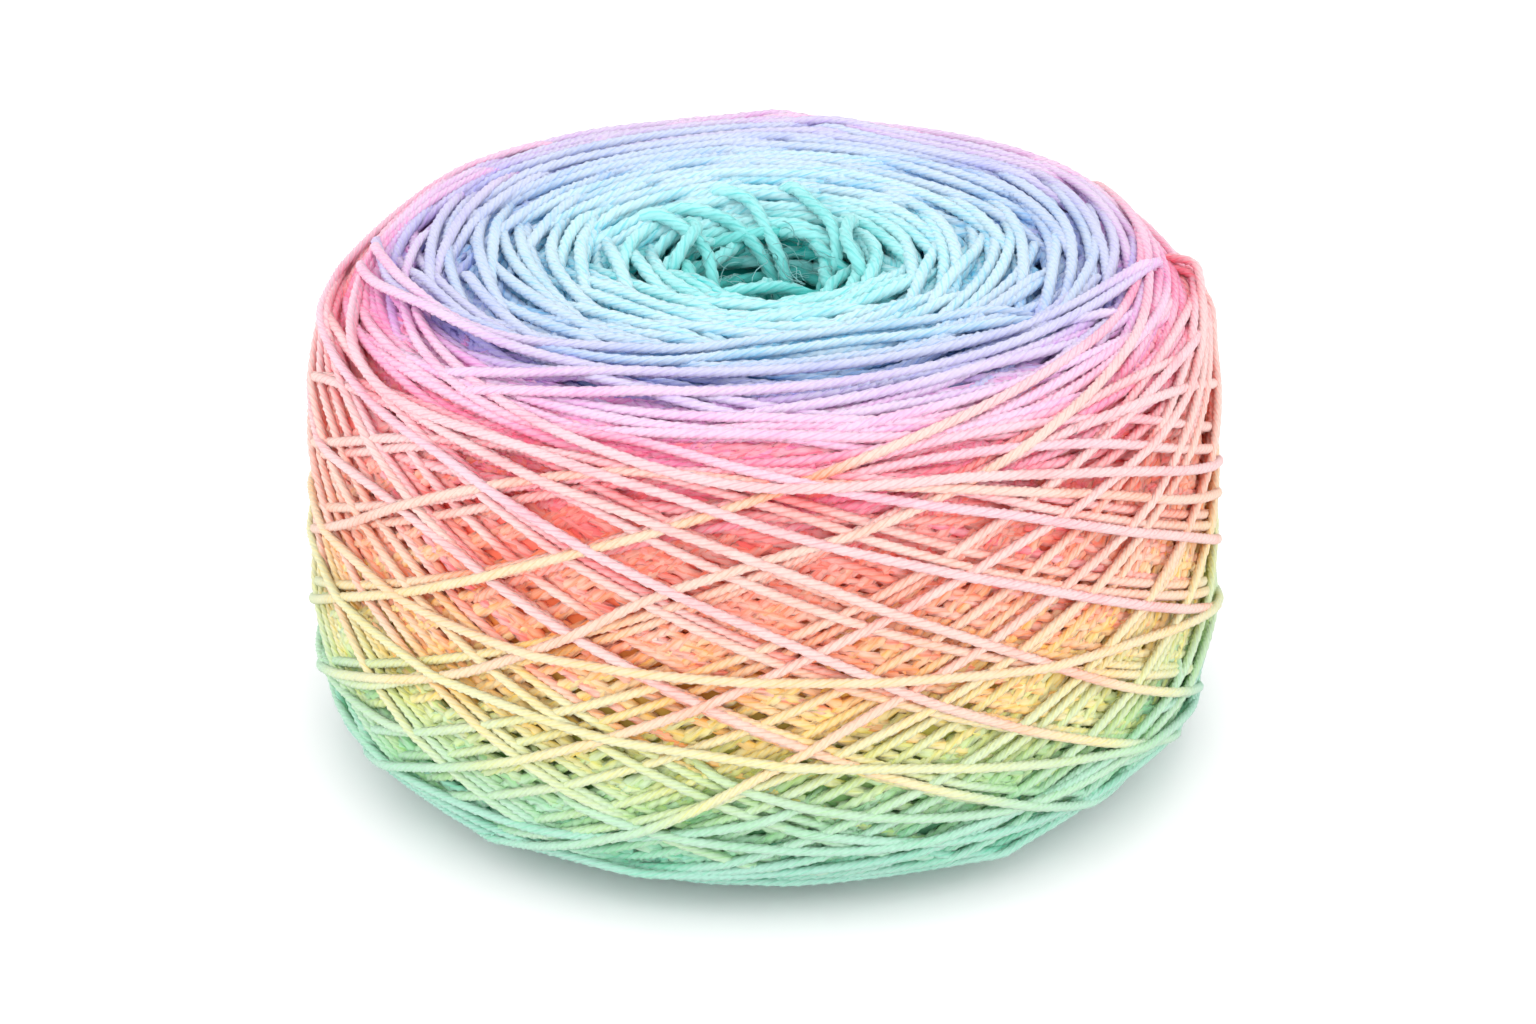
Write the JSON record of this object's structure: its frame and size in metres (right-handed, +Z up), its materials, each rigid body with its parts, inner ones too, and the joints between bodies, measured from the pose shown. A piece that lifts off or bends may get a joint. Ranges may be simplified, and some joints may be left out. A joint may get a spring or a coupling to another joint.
{
  "type": "yarn cake",
  "caption": "Centre-pull cake of gradient plied yarn, cross-wound into a low round-shouldered drum with a dished top and a hollow middle.",
  "frame": {"origin": "centre of the underside, on the winding axis, at the surface the cake rests on", "axes": "+Z up along the winding axis, out of the hollow; -Y towards the picture's viewer; +X to the picture's right"},
  "size_m": [0.1172, 0.1166, 0.0663],
  "materials": {
    "yarn": "soft matte plied yarn"
  },
  "bodies": {
    "root": {"cake": "yarn"}
  },
  "joints": []
}
